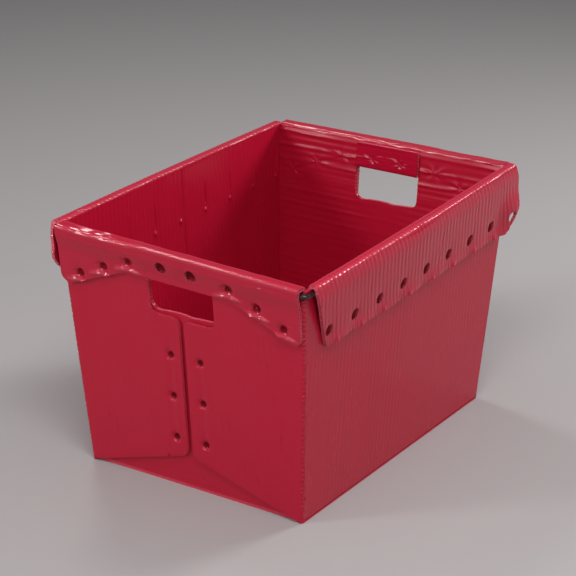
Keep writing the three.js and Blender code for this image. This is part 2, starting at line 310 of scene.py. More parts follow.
def triangulate(loops, grid, step):
    """A flat sheet inside the first loop and outside the others, through the grid points.

    Gives the points, the triangles, and for each loop the numbers of its points in order."""
    dense = [densify(loop, step) for loop in loops]
    edge_points = np.concatenate(dense)
    points = np.concatenate([edge_points, clear_of(grid[within(grid, loops)], edge_points, 0.4 * step)])
    starts = np.cumsum([0] + [len(loop) for loop in dense]).tolist()
    edges = [(start + k, start + (k + 1) % len(loop))
             for start, loop in zip(starts, dense) for k in range(len(loop))]
    made = delaunay_2d_cdt([Vector(p) for p in points], edges, [], 0, 1e-5)
    where = {old: new for new, olds in enumerate(made[3]) for old in olds}
    uv = np.array([tuple(v) for v in made[0]])
    faces = np.array(made[2])
    rings = [np.array([where[start + k] for k in range(len(loop))])
             for start, loop in zip(starts, dense)]
    on_edge = np.zeros(len(uv), bool)
    on_edge[np.concatenate(rings)] = True
    doubtful = np.nonzero(on_edge[faces].all(1))[0]
    good = within(uv[faces[doubtful]].mean(1), loops)
    return uv, np.delete(faces, doubtful[~good], 0), rings


def make_object(name, vertices, faces, uv, marks, material):
    """A mesh object from arrays, with its face normals turned outwards."""
    vertices = settle(vertices)
    triangles = np.array([f[:3] for f in faces])
    a, b, c = (vertices[triangles[:, k]] for k in range(3))
    if np.einsum("ij,ij->i", a, np.cross(b, c)).sum() < 0:
        faces = [tuple(f)[::-1] for f in faces]
    mesh = bpy.data.meshes.new(name)
    mesh.from_pydata((vertices * MM).tolist(), [], [tuple(int(i) for i in f) for f in faces])
    layer = mesh.uv_layers.new(name="board")
    loop_vertex = np.zeros(len(mesh.loops), np.int32)
    mesh.loops.foreach_get("vertex_index", loop_vertex)
    layer.data.foreach_set("uv", (uv[loop_vertex] / 100).astype(np.float32).ravel())
    for mark, values in marks.items():
        stored = mesh.attributes.new(mark, "FLOAT", "POINT")
        stored.data.foreach_set("value", values.astype(np.float32))
    mesh.validate()
    mesh.shade_smooth()
    mesh.set_sharp_from_angle(angle=math.radians(SHARP_ANGLE))
    mesh.materials.append(material)
    piece = bpy.data.objects.new(name, mesh)
    bpy.context.scene.collection.objects.link(piece)
    return piece


def keep(piece, node):
    """The piece rides with the tote's one body and stands for its CAD node."""
    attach(piece, "root")
    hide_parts(node)
    return piece


# The rows of points down a cut edge: each one's share of the board's thickness, and whether it
# is set back between the two skins.
SKIN = 0.13
LIP = 0.06
ROWS = [(SKIN, 0.0), (SKIN + LIP, 1.0), (1 - SKIN - LIP, 1.0), (1 - SKIN, 0.0)]


def edge_recess(at, loop, is_hole, across):
    """How far a cut edge is set back at each point: open flute cells where the edge crosses the
    flutes, and a slight tear where it runs along them."""
    tangent = np.roll(at, -1, 0) - np.roll(at, 1, 0)
    tangent /= np.linalg.norm(tangent, axis=1)[:, None] + 1e-9
    normal = np.stack([-tangent[:, 1], tangent[:, 0]], 1)
    points_in = inside(at + 0.2 * normal, loop) != is_hole
    inward = np.where(points_in[:, None], normal, -normal)
    crossing = np.abs(tangent[:, across]) > 0.5
    cell = np.abs((at[:, across] / FLUTE) % 1 - 0.5) < 0.36
    torn = 0.12 + 0.3 * noise(at[:, 0] / 1.4, at[:, 1] / 1.4, 99)
    return inward * (np.where(crossing, cell, torn) * CELL_DEPTH)[:, None]


def board(name, wall, loops, grid, skin, across, material, crush=None):
    """One sheet of board. skin(u, v, side) gives (out, z) or points of its outer (1) or inner (0)
    face, and across is which of u and v runs across the flutes."""
    uv, faces, rings = triangulate(loops, grid, 0.65)
    count = len(uv)

    def points(at, side):
        made = skin(at[:, 0], at[:, 1], side)
        return made if isinstance(made, np.ndarray) else place(wall, at[:, 0], *made)

    vertices = [points(uv, 1), points(uv, 0)]
    all_uv = [uv, uv]
    cut = [np.zeros(2 * count)]
    solid = faces.tolist() + (faces[:, ::-1] + count).tolist()
    total = 2 * count
    for number, ring in enumerate(rings):
        at = uv[ring]
        recess = edge_recess(at, loops[number], number > 0, across)
        size = len(ring)
        rows = [ring]
        for share, set_back in ROWS:
            moved = at + recess * set_back
            vertices.append(points(moved, 1) * (1 - share) + points(moved, 0) * share)
            all_uv.append(at)
            # The cut edges are pale, and the rows set back inside the open flute cells get less of that
            # tint: painted shade in the cells.
            cut.append(np.full(size, 1.0 - 0.4 * set_back))
            rows.append(np.arange(size) + total)
            total += size
        rows.append(ring + count)
        for upper, lower in zip(rows, rows[1:]):
            quads = np.stack([upper, np.roll(upper, -1), np.roll(lower, -1), lower], 1)
            solid += quads.tolist()
    vertices = np.concatenate(vertices)
    all_uv = np.concatenate(all_uv)
    marks = {"cut": np.concatenate(cut)}
    marks["crush"] = crush(all_uv[:, 0], all_uv[:, 1]) if crush else np.zeros(len(vertices))
    coordinates = all_uv if across == 0 else all_uv[:, ::-1]
    solid = orient(solid, 2 * len(faces), rings)
    return make_object(name, vertices, solid, coordinates, marks, material)


def orient(solid, sheet_count, rings):
    """Turns the edge strips so that each shared edge is used once each way."""
    used = set()
    for a, b, c in solid[:sheet_count]:
        used.update(((a, b), (b, c), (c, a)))
    turned = solid[:sheet_count]
    position = sheet_count
    rows = len(ROWS) + 1
    for ring in rings:
        size = len(ring)
        strip = solid[position:position + rows * size]
        flip = (strip[0][0], strip[0][1]) in used
        turned += [face[::-1] if flip else face for face in strip]
        position += rows * size
    return turned


# ------------------------------ surface detail

def flute_lines(across, along, depth, seed=2):
    """The skin's slight ridges over the flutes, uneven from flute to flute."""
    uneven = 0.65 + 0.35 * noise(across / 17, along / 130, seed)
    fine = np.cos(2 * math.pi * across / FLUTE)
    double = np.cos(2 * math.pi * across / PUCKER + 0.5 * noise(across / 31, along / 90, seed + 1))
    return depth * uneven * (0.4 * fine + double)


def waviness(u, z, height, seed=3):
    """How far a board is from flat."""
    return height * (noise(u / 110, z / 130, seed) + 0.35 * noise(u / 45, z / 60, seed + 7))


def folds(u, seed=4, power=1.0):
    """Rounded ridges with pinched valleys, one every second flute, uneven along the board. A
    lower power makes the ridges flatter and the valleys narrower."""
    phase = math.pi * (u / PUCKER + 0.12 * noise(u / 26, 0, seed))
    return (2 * np.abs(np.cos(phase)) ** power - 1) * (0.75 + 0.4 * noise(u / 13, 0, seed + 1))


def puckers(u, distance, height, reach, seed=4):
    """The row of folds across a crease."""
    return height * folds(u, seed, 0.45) * np.exp(-np.abs(distance) / reach)


def pit(u, z, radius, depth):
    """A round dent with a flat foot."""
    return -depth * np.exp(-((u * u + z * z) / radius ** 2) ** 1.4)


def tent_folds(u, z, seed):
    """The crushed flutes under an end weld: a tent over two tails that run along the board."""
    lean = 0.2 + 0.06 * noise(seed * 1.7, 0, 9)
    reach = np.clip(1 - (u / 20) ** 2, 0, 1)
    tails = tent(z + 7.5 + lean * np.abs(u), 2.8) * reach
    brow = tent(z + 4.2 - 0.12 * u, 1.8) * tent(u + 5, 14)
    crumple = noise(u / 3.1 + seed, z / 2.1, 11) * hump(np.hypot(u, z + 6), 9)
    return 2.5 * tails + 0.9 * brow + 0.45 * crumple


def speckled_lip(u, z, seed):
    """The torn lip under a slot weld."""
    lip = hump(np.hypot(u * 0.8, z + 4.6), 3.0)
    return lip * (0.75 + 0.75 * noise(u / 1.3 + seed, z / 1.2, 13))


def star(u, z, seed, reach=13):
    """Creases that run out from a weld, longer along the board than across it."""
    angle = np.arctan2(z * 1.7, u)
    radius = np.hypot(u * 0.7, z * 1.5)
    rays = np.cos(5 * angle + 6 * noise(seed, 0.5, 15)) * (0.6 + 0.6 * noise(angle * 1.3 + seed, 0, 17))
    return rays * smooth(radius, 1.5, 4) * hump(radius, reach)


END_WELDS = weld_spots("weld_rim_back")
SIDE_WELDS = {wall: weld_spots("weld_rim_" + wall) for wall in ("left", "right")}
FLAP_WELDS = weld_spots("weld_flap_front")
HOLE_HEIGHT = SIDE_WELDS["right"][0][1]


def is_dimple(u):
    """The end rim's outer welds are small pits; the two over the handle are punched holes."""
    return abs(u) > PUNCHED_REACH


# ------------------------------ walls

CORNER_OVERLAP = 0.6


def side_skin(wall):
    """A side wall's faces, with the marks of the rim's welds and the creases inside."""
    def skin(u, z, side):
        out = SIDE_BASE + SIDE_SLOPE * z + waviness(u, z, 0.5, 20 + len(wall)) * smooth(z, 0, 60)
        if side == 1:
            out = out + flute_lines(u, z, 0.075)
        else:
            out = out - BOARD - flute_lines(u, z, 0.035, 6)
            out = out - puckers(u, z - HEIGHT, 0.6, 7)
            for i, (at, height) in enumerate(SIDE_WELDS[wall]):
                du, dz = u - at, z - height
                out = out - 0.8 * speckled_lip(du, dz + 2, i) - pit(du - 3, dz - 1, 2, 1)
                out = out - 2.3 * hump(np.hypot(du, dz + 3), 2.1)
                groove = hump(du - 3, 1.5) * smooth(dz, 2, 6) * (1 - smooth(dz, 20, 34))
                out = out + 2.0 * groove * (0.6 + 0.4 * noise(i, 2, 23))
            # Two creases run up the wall, one of them just past the fifth weld.
            crease = SIDE_WELDS[wall][4][0] + 9
            out = out + 1.2 * hump(u - crease, 1.2) + 0.4 * hump(u - crease + 52, 0.9)
        return out, z
    return skin


def wall_outline(base, slope):
    """A wall that widens from its foot to its top."""
    foot, top = base + slope * WALL_BOTTOM, base + slope * WALL_TOP
    return np.array([(-foot, WALL_BOTTOM), (foot, WALL_BOTTOM), (top, WALL_TOP), (-top, WALL_TOP)])


def side_wall(wall, material):
    name = "side_wall_" + wall
    outline = wall_outline(END_BASE + CORNER_OVERLAP, END_SLOPE)
    plain, welded, top = np.arange(8, 222, 7), np.arange(223, 262, 1.5), np.arange(263, 296, 2.2)
    stations = np.concatenate([plain, welded, top])
    grid = lattice(outline, 0, (STEP, stations))
    return keep(board(name, wall, [outline], grid, side_skin(wall), 0, material), name)


def ribs(u, z, seed):
    """The end wall's own flutes seen from inside: soft ribs with a stronger one now and then."""
    fine = np.cos(2 * math.pi * (z / RIB + 0.12 * noise(u / 70, z / 30, seed)))
    bold = hump((z + 9) % (2.2 * RIB) - RIB, 1.9) * (0.5 + 0.7 * noise(u / 55, z / 19, seed + 1))
    near_top = 0.35 + 0.65 * smooth(z, 190, 262)
    fade = 0.4 + 0.6 * noise(u / 60, z / 40, seed + 2)
    return near_top * (0.34 * fine * fade + 1.35 * bold)


def end_skin(wall):
    """An end wall's faces, with its ribs and the stars round the welds inside."""
    def skin(u, z, side):
        out = END_BASE + END_SLOPE * z + waviness(u, z, 0.5, 30 + len(wall)) * smooth(z, 0, 60)
        if side == 1:
            return out + flute_lines(z, u, 0.04), z
        out = out - BOARD - ribs(u, z, 40)
        for i, (at, height) in enumerate(END_WELDS):
            if is_dimple(at):
                out = out - 0.9 * star(u - at, z - height + 2, i)
        for i, (at, height) in enumerate(FLAP_WELDS):
            out = out - 0.4 * speckled_lip(u - at, z - height, i + 20)
        return out, z
    return skin


def hand_hole():
    return rounded([(-HAND_HALF, HAND_INSIDE, HAND_ROUND), (HAND_HALF, HAND_INSIDE, HAND_ROUND),
                    (HAND_HALF, HAND_TOP, 0), (-HAND_HALF, HAND_TOP, 0)])


def wavy(loop, height, seed, low):
    """A rough cut: the outline's lower edge wanders."""
    loop = densify(loop, 3)
    near = 1 - smooth(loop[:, 1], low, low + 16)
    loop[:, 1] += height * near * noise(loop[:, 0] / 11, 0, seed)
    return loop


def end_wall(wall, material):
    name = "end_wall_" + wall
    outline = wall_outline(SIDE_BASE - BOARD - GAP + CORNER_OVERLAP, SIDE_SLOPE)
    hole = wavy(hand_hole(), 1.3, 51, HAND_INSIDE)
    grid = lattice(outline, 1, (1.3, 5.0), [(u, z, 13, 1.2) for u, z in END_WELDS if is_dimple(u)])
    return keep(board(name, wall, [outline, hole], grid, end_skin(wall), 1, material), name)


def bottom(material):
    outline = np.array([(-SIDE_BASE, -END_BASE), (SIDE_BASE, -END_BASE),
                        (SIDE_BASE, END_BASE), (-SIDE_BASE, END_BASE)])
    grid = lattice(outline, 1, (STEP, 9))

    def skin(u, v, side):
        edge = np.minimum(SIDE_BASE - np.abs(u), END_BASE - np.abs(v))
        sag = 0.25 * smooth(edge, 0, 30) * (1 + noise(u / 60, v / 70, 60))
        top = BOARD + flute_lines(v, u, 0.05) - sag
        return np.stack([u, v, top if side == 1 else 0.02 + sag * 0.2], 1)

    return keep(board("bottom_panel", None, [outline], grid, skin, 1, material), "bottom_panel")


# ------------------------------ corner flaps

FOLD_ROUND = BOARD + GAP - 0.3


def flap_skin(wall, hand, welds):
    """A corner flap's faces: the round fold at its corner, and the pits of its slot welds."""
    def skin(u, z, side):
        edge = SIDE_BASE + SIDE_SLOPE * z - hand * u
        out = SHELL_BASE + END_SLOPE * z + waviness(u, z, 0.7, 70 + hand) * smooth(edge, 2, 40)
        if side == 1:
            turn = np.clip(FOLD_ROUND - edge, 0, FOLD_ROUND)
            out = out - FOLD_ROUND + np.sqrt(FOLD_ROUND ** 2 - turn ** 2)
            out = out + flute_lines(u, z, 0.014, 8)
        else:
            out = out - BOARD
        for i, (at, height) in enumerate(welds):
            du, dz = u - at, z - height
            share = 1.0 if side == 1 else 0.25
            out = out + share * (pit(du, dz, 5.8, 2.9) + 1.6 * speckled_lip(du, dz, i))
        if side == 1:
            column, lowest, highest = welds[0][0], welds[0][1], welds[-1][1]
            reach = smooth(z, lowest - 12, lowest) * (1 - smooth(z, highest, highest + 22))
            wander = 1.2 * noise(z / 23, hand, 81)
            out = out - 0.5 * reach * hump(u - column - wander, 4.5)
            out = out + 0.25 * reach * hump(u - column - wander - 6.5, 3)
        return out, z
    return skin


def corner_flap(wall, side, material):
    name = "corner_flap_" + wall + "_" + side
    hand = -1 if side == "left" else 1
    low, high = corners(name)
    slot = low[0] if hand > 0 else high[0]
    foot = SIDE_BASE - 0.02
    top = foot + SIDE_SLOPE * FLAP_TOP
    points = [(hand * foot, 0.02, 0), (hand * top, FLAP_TOP, 0), (slot, FLAP_TOP, 0), (slot, HAND_TOP, 0),
              (hand * HAND_HALF, HAND_TOP, 0), (hand * HAND_HALF, HAND_OUTSIDE, HAND_ROUND),
              (slot, HAND_OUTSIDE, SLOT_TOP_ROUND), (slot, SLOT_FOOT, SLOT_FOOT_ROUND)]
    outline = rounded(points)
    welds = [(u, z) for u, z in weld_spots("weld_flap_" + wall) if u * hand > 0]
    holes = [circle(u, z, PIT_RADIUS, 0.25) for u, z in welds]
    patches = [(u, z, 11, 0.8) for u, z in welds]
    grid = lattice(outline, 0, (STEP, 6), patches)
    edge = SIDE_BASE + SIDE_SLOPE * grid[:, 1] - hand * grid[:, 0]
    rows = np.arange(4, FLAP_TOP, 6.0)
    close = FOLD_ROUND * (1 - np.cos(np.linspace(0.15, 1.5, 7)))
    fold = np.array([(hand * (SIDE_BASE + SIDE_SLOPE * z - d), z) for z in rows for d in close])
    grid = np.concatenate([grid[edge > FOLD_ROUND], fold])
    piece = board(name, wall, [outline] + holes, grid, flap_skin(wall, hand, welds), 0, material)
    return keep(piece, name)


# ------------------------------ folded rims

class Section:
    """A bent board's section: matching corners of its outer and inner faces, with the outer
    ones rounded. Stations run along the outer face from the inner crease down the flap."""

    def __init__(self, outer, inner):
        corner = np.array([(x, y) for x, y, _ in outer], float)
        lengths = np.linalg.norm(np.diff(corner, axis=0), axis=1)
        self.stations = np.concatenate([[0], np.cumsum(lengths)])
        self.length = self.stations[-1]
        self.samples = np.linspace(0, self.length, 1600)
        self.outer = self.curve(corner, [r for _, _, r in outer])
        self.inner = self.curve(np.array(inner, float), [0.6 * r for _, _, r in outer])
        slope = np.gradient(self.outer, axis=0)
        slope /= np.linalg.norm(slope, axis=1)[:, None]
        self.normal = np.stack([-slope[:, 1], slope[:, 0]], 1)

    def curve(self, corner, radii):
        straight = np.stack([np.interp(self.samples, self.stations, corner[:, k]) for k in (0, 1)], 1)
        result = straight.copy()
        for station, radius in zip(self.stations[1:-1], radii[1:-1]):
            near = np.abs(self.samples - station) < radius
            if not near.any():
                continue
            share = (self.samples[near] - station + radius) / (2 * radius)
            start, end = (np.array([np.interp(at, self.samples, line) for line in straight.T])
                          for at in (station - radius, station + radius))
            middle = np.array([np.interp(station, self.stations, line) for line in corner.T])
            result[near] = bend(start, middle, end, share)
        return result

    def at(self, s, side, lift):
        """(out, z) at station s, raised off the face by lift."""
        source = self.outer if side == 1 else self.inner
        out = np.interp(s, self.samples, source[:, 0])
        z = np.interp(s, self.samples, source[:, 1])
        across = np.interp(s, self.samples, self.normal[:, 0])
        up = np.interp(s, self.samples, self.normal[:, 1])
        return out + lift * across, z + lift * up

    def station_of(self, z):
        """The station on the hanging flap at a height."""
        top = int(self.samples.searchsorted(self.stations[2]))
        heights = self.outer[top:, 1]
        return np.interp(-z, -heights, self.samples[top:])


def side_landing(z):
    return SIDE_BASE + SIDE_SLOPE * z + GAP + BOARD


def shell_landing(z):
    return SHELL_BASE + END_SLOPE * z + GAP + BOARD


def side_section(inner_round, outer_round):
    """A side rim's section: over the wall's top, round a shoulder and down to the wall."""
    inner = SIDE_BASE + SIDE_SLOPE * HEIGHT - BOARD
    shoulder, hang, landing = HEIGHT - 14, HEIGHT - 64, SIDE_RIM_LOW
    outer = [(inner - 0.3, WALL_TOP, 0), (inner, HEIGHT, inner_round),
             (SIDE_CREASE, HEIGHT, outer_round), (SIDE_BULGE - 0.8, shoulder, 8),
             (side_landing(hang) + 1.5, hang, 16), (side_landing(landing), landing, 0)]
    back = [(inner + 3.4, WALL_TOP), (inner + 3.7, HEIGHT - BOARD),
            (SIDE_CREASE - 4, HEIGHT - BOARD), (SIDE_BULGE - 4.8, shoulder),
            (side_landing(hang) - 2.5, hang), (side_landing(landing) - BOARD, landing)]
    return Section(outer, back)


def end_section(crease_drop, crease_round):
    """The end rim's section. A drop lowers the outer crease, so that the fold's top leans out."""
    inner = END_BASE + END_SLOPE * HEIGHT - BOARD
    crease, shoulder, hang, landing = HEIGHT - crease_drop, HEIGHT - 13, HEIGHT - 28, END_RIM_LOW
    outer = [(inner - 0.4, WALL_TOP, 0), (inner, HEIGHT, 3.6),
             (END_CREASE, crease, crease_round), (END_CREASE, shoulder, 5),
             (shell_landing(hang), hang, 8), (shell_landing(landing), landing, 0)]
    back = [(inner + 3.4, WALL_TOP), (inner + 3.7, HEIGHT - BOARD),
            (END_CREASE - 4, crease - BOARD), (END_CREASE - 4, shoulder),
            (shell_landing(hang) - BOARD, hang), (shell_landing(landing) - BOARD, landing)]
    return Section(outer, back)


def side_rim(wall, material):
    """A side rim. Its tucked end lies against the wall and its clipped end hangs free."""
    name = "rim_flap_" + wall
    flap = SIDE_FLAPS[wall]
    hand = flap.hand
    section = side_section(flap.inner_round, flap.outer_round)
    crease = section.stations[2]
    low, hole_at = section.station_of(SIDE_RIM_LOW), section.station_of(HOLE_HEIGHT)
    slant, taper = section.station_of(SLANT_TOP), section.station_of(TAPER_FOOT)
    clip = section.station_of(flap.clip_height)
    points = [(flap.tucked_end, 0, 0), (HALF_RIM, 0, 0), (HALF_RIM, crease, 4), (flap.free_end, taper, 12),
              (flap.free_end, clip, 8), (flap.low_end, low, 3), (flap.foot, low, 1.5),
              (flap.tucked_end, slant, 5)]
    outline = wavy_edge(rounded([(hand * u, s, r) for u, s, r in points]), low)
    places = [u for u, _ in SIDE_WELDS[wall]]
    places.append(2 * places[-1] - places[-2] - LAST_HOLE_SHIFT * hand)
    holes = [circle(u, hole_at, PUNCH_RADIUS, 0.03) for u in places]
    stations = np.concatenate([np.arange(0.7, crease + 9, 0.75), np.arange(crease + 10, low, 2.0)])
    grid = lattice(outline, 0, (STEP, stations))

    def kinks(u, s):
        """A few sharper folds across the hanging flap."""
        total = 0
        for at, strength in ((-104, 0.2), (52, 0.3), (133, 0.25), (194, 0.25)):
            kink = hump(hand * u - at, 1.3) - 0.6 * hump(hand * u - at - 2.6, 1.6)
            total = total + strength * kink * (0.6 + 0.4 * noise(u, s / 30, 49))
        return total

    def lift(u, s, side):
        inner_crease, outer_crease = s - section.stations[1], s - crease
        rise = puckers(u, inner_crease, flap.inner_folds, 4.2)
        rise = rise + puckers(u, outer_crease, flap.outer_folds, 5.0, 14)
        hanging = smooth(outer_crease, 1, 8)
        rise = rise + hanging * 0.19 * folds(u - FOLD_LEAN * hand * outer_crease, 14)
        rise = rise + hanging * waviness(u, s, 0.5, 46)
        free = smooth(s, hole_at + 4, low)
        for i, at in enumerate(places):
            du, dv = u - at, s - hole_at
            below = smooth(dv, 5, 12)
            fan = np.cos(2 * math.pi * du / (3.2 + 0.1 * dv))
            rise = rise + 0.22 * fan * below * hump(du, 11) * (1 if side == 1 else 0.3)
            rise = rise - 0.55 * hump(np.hypot(du, dv * 0.8), 11)
            free = free * (1 - 0.65 * hump(du, 12))
            notch = hump(du - 15 - 3 * noise(i, 1, 47), 3.5) * smooth(s, low - 9, low)
            rise = rise + 1.6 * notch
        rise = rise + free * (1.3 + 0.6 * noise(u / 19, 1, 48)) - hanging * kinks(u, s)
        loose = smooth(hand * u, 192, 232) * smooth(s, taper, hole_at - 4)
        return rise * (1 if side == 1 else 0.55) + LOOSE_LIFT * loose

    def skin(u, s, side):
        return place(wall, u, *section.at(s, side, lift(u, s, side)))

    def crush(u, s):
        return hump(s - crease, 3.5) + hump(s - section.stations[1], 2.2)

    piece = board(name, wall, [outline] + holes, grid, skin, 0, material, crush)
    return keep(piece, name)


def wavy_edge(loop, low):
    """The flap's lower edge dips and rises a little, and its two ends are roughly cut."""
    loop = densify(loop, 1.5)
    near = smooth(loop[:, 1], low - 6, low)
    end = smooth(np.abs(loop[:, 0]), 180, 210) * smooth(loop[:, 1], 2, 8)
    ragged = 0.5 * noise(loop[:, 1] / 1.7, 2, 56)
    loop[:, 1] -= near * (0.5 + 0.6 * noise(loop[:, 0] / 7, 3, 55))
    loop[:, 0] += end * ragged
    return loop


def end_rim(wall, material):
    """An end rim, crisp along most of its fold and worn round at its outer end."""
    name = "rim_flap_" + wall
    sharp, soft = end_section(0, 2.0), end_section(3.8, 3.5)
    crease = sharp.stations[2]
    low, middle = sharp.station_of(END_RIM_LOW), sharp.station_of(END_RIM_MIDDLE)
    corner = sharp.station_of(END_RIM_LOW + 6)
    half = END_RIM_HALF
    right = [(half, crease, 0), (half - 1.2, corner, 5), (END_DEEP, low, 5), (END_SHALLOW, middle, 4)]
    left = [(-u, s, r) for u, s, r in reversed(right)]
    left[-2:] = [(1.6 - half - 4, corner, 5), (-half - 4, crease + 2, 1.5), (-half, crease - 3, 0)]
    outline = rounded([(-half, 0, 0), (half, 0, 0)] + right + left)
    stations = {(u, z): sharp.station_of(z) for u, z in END_WELDS}
    holes = [circle(u, s, PIT_RADIUS if is_dimple(u) else PUNCH_RADIUS, 0.25 if is_dimple(u) else 0.03)
             for (u, _), s in stations.items()]
    patches = [(u, s, 21, 1.15) for (u, _), s in stations.items() if is_dimple(u)]
    grid = lattice(outline, 1, (1.0, 4.0), patches)
    worn = -1 if wall == "front" else 1

    def softness(u):
        share = smooth(worn * u, 45, 75) * (0.75 + 0.25 * noise(u / 12, 5, 61))
        return share * (1 if wall == "front" else 0.35)

    def lift(u, s, side):
        outer_crease, inner_crease = s - crease, s - sharp.stations[1]
        hanging = smooth(outer_crease, 3, 9)
        rise = hanging * (flute_lines(s, u, 0.05, 64) + waviness(u, s, 0.6, 66))
        rough = 0.15 + 0.85 * smooth(worn * u, 30, 60) * (1 if wall == "front" else 0.2)
        rise = rise + 0.45 * hump(outer_crease, 6) * noise(u / 9, s / 3, 67) * rough
        rise = rise + 0.3 * hump(outer_crease - 3, 5) * noise(u / 4, s / 1.8, 73) * rough
        rise = rise + 0.15 * hump(outer_crease, 1.5) * noise(u / 2.6, 1, 68)
        rise = rise + 0.5 * hump(inner_crease, 4) * noise(u / 14, s / 3, 69)
        for i, ((at, _), station) in enumerate(stations.items()):
            du, dz = u - at, station - s
            if is_dimple(at):
                rise = rise + pit(du, dz, 6.8, 3.5) + tent_folds(du * (1 if at > 0 else -1), dz, i)
            else:
                rise = rise - 0.5 * hump(np.hypot(du, dz * 0.8), 11)
        for at, station, reach in ((-118, 33, 16), (-84, 40, 20), (60, 37, 16), (112, 30, 12)):
            rise = rise + 0.75 * tent(s - station - 0.06 * (u - at), 1.5) * tent(u - at, reach)
        rise = rise + 0.8 * smooth(s, low - 14, low) * noise(u / 21, 2, 71)
        return rise * (1 if side == 1 else 0.4)

    def skin(u, s, side):
        raised = lift(u, s, side)
        share = softness(u)
        crisp = np.array(sharp.at(s, side, raised))
        worn_down = np.array(soft.at(s * soft.length / sharp.length, side, raised))
        out, z = crisp * (1 - share) + worn_down * share
        return place(wall, u, out, z)

    def crush(u, s):
        marks = hump(s - crease, 3) + 0.7 * hump(s - sharp.stations[1], 3)
        for (at, _), station in stations.items():
            if is_dimple(at):
                marks = marks + 0.8 * np.clip(tent_folds(u - at, station - s, 0), 0, 1)
        return marks

    piece = board(name, wall, [outline] + holes, grid, skin, 1, material, crush)
    return keep(piece, name)


# ------------------------------ handle tabs, wire, welds

def handle_tab(wall, material):
    name = "handle_tab_" + wall
    low, high = corners(name)
    outline = rounded([(low[0], low[2] - 0.4, 0), (high[0], low[2] - 0.4, 0),
                       (high[0], high[2], 4), (low[0], high[2], 4)])
    welds = [(u, z) for u, z in END_WELDS if not is_dimple(u)]
    grid = lattice(outline, 1, (0.9, 1.6))
    base = END_BASE - BOARD - GAP

    def skin(u, z, side):
        out = base + END_SLOPE * z
        if side == 1:
            return out, z
        roll = 1.6 * (1 - smooth(z, low[2] - 1, low[2] + 3))
        out = out - BOARD - flute_lines(z, u, 0.12, 90) + roll
        out = out - 0.55 * ribs(u, z - 3, 92)
        for i, (at, height) in enumerate(welds):
            du, dz = u - at, z - height + 3
            out = out - 0.8 * star(du, dz, i + 3, 9) + 1.1 * hump(np.hypot(du, dz), 3)
            out = out - 0.7 * tent(dz + 6 + 0.1 * np.abs(du), 2) * tent(du, 13)
        return out, z

    return keep(board(name, wall, [outline], grid, skin, 1, material), name)


def wire(material):
    """The rim's steel wire: one length bent round four corners, its ends close together at the back."""
    path = [(0.5, WIRE_Y)]
    for sx, sy in ((1, 1), (1, -1), (-1, -1), (-1, 1)):
        corner = np.array([sx * WIRE_X, sy * WIRE_Y])
        along_x, along_y = corner - (sx * WIRE_BEND, 0), corner - (0, sy * WIRE_BEND)
        start, end = (along_x, along_y) if sx * sy > 0 else (along_y, along_x)
        path += list(bend(start, corner, end, np.linspace(0, 1, 15)))
    path = densify(np.array(path + [(-0.5, WIRE_Y)], float), 6)[:-1]
    ahead = np.gradient(path, axis=0)
    ahead /= np.linalg.norm(ahead, axis=1)[:, None]
    sides = 20
    rings = []
    for k in range(sides):
        angle = 2 * math.pi * k / sides
        length = np.arange(len(path))
        radius = WIRE_RADIUS * (1 + 0.02 * noise(length / 2.0, k / 3, 95))
        offset = radius * math.cos(angle)
        x = path[:, 0] - ahead[:, 1] * offset
        y = path[:, 1] + ahead[:, 0] * offset
        rings.append(np.stack([x, y, WIRE_HEIGHT + radius * math.sin(angle)], 1))
    count = len(path)
    vertices = np.concatenate(rings + [np.append(path[[0, -1]], [[WIRE_HEIGHT]] * 2, 1)])
    faces = []
    for k in range(sides):
        other = (k + 1) % sides
        faces += [(k * count + i, k * count + i + 1, other * count + i + 1, other * count + i)
                  for i in range(count - 1)]
        faces.append((k * count, other * count, sides * count))
        faces.append((other * count + count - 1, k * count + count - 1, sides * count + 1))
    uv = vertices[:, :2].copy()
    marks = {"cut": np.zeros(len(vertices)), "crush": np.zeros(len(vertices))}
    return keep(make_object("rim_wire", vertices, faces, uv, marks, material), "rim_wire")


def weld(name, wall, u, z, radius, base, slope, depth, material, seed):
    """A spot weld: board fused into a crumpled cup at the foot of its hole."""
    rings, spokes = 12, 40
    angle = np.linspace(0, 2 * math.pi, spokes, endpoint=False)
    points = [(0.0, 0.0)]
    for k in range(1, rings + 1):
        points += [(radius * k / rings * math.cos(a), radius * k / rings * math.sin(a)) for a in angle]
    du, dz = np.array(points).T
    share = np.hypot(du, dz) / radius
    crumple = noise(du / 1.5 + seed * 3.1, dz / 1.1, 97) * (1 - 0.6 * share)
    cup = 0.9 + depth * smooth(share, 0.45, 1) + 0.45 * crumple
    foot = base + slope * (z + dz)
    top_points = place(wall, u + du, foot + cup, z + dz)
    low_points = place(wall, u + du, foot - 0.6, z + dz)
    count = len(points)
    faces = []
    for k in range(spokes):
        other = (k + 1) % spokes
        faces.append((0, 1 + k, 1 + other))
        for ring in range(rings - 1):
            a, b = 1 + ring * spokes, 1 + (ring + 1) * spokes
            faces.append((a + k, b + k, b + other, a + other))
    faces += [tuple(i + count for i in face[::-1]) for face in faces]
    edge = 1 + (rings - 1) * spokes
    for k in range(spokes):
        other = (k + 1) % spokes
        faces.append((edge + other, edge + k, edge + k + count, edge + other + count))
    vertices = np.concatenate([top_points, low_points])
    uv = np.tile(np.array(points), (2, 1)) + (u, z)
    marks = {"cut": np.zeros(2 * count), "crush": np.tile(hump(share - 0.8, 0.2), 2)}
    return keep(make_object(name, vertices, faces, uv, marks, material), name)


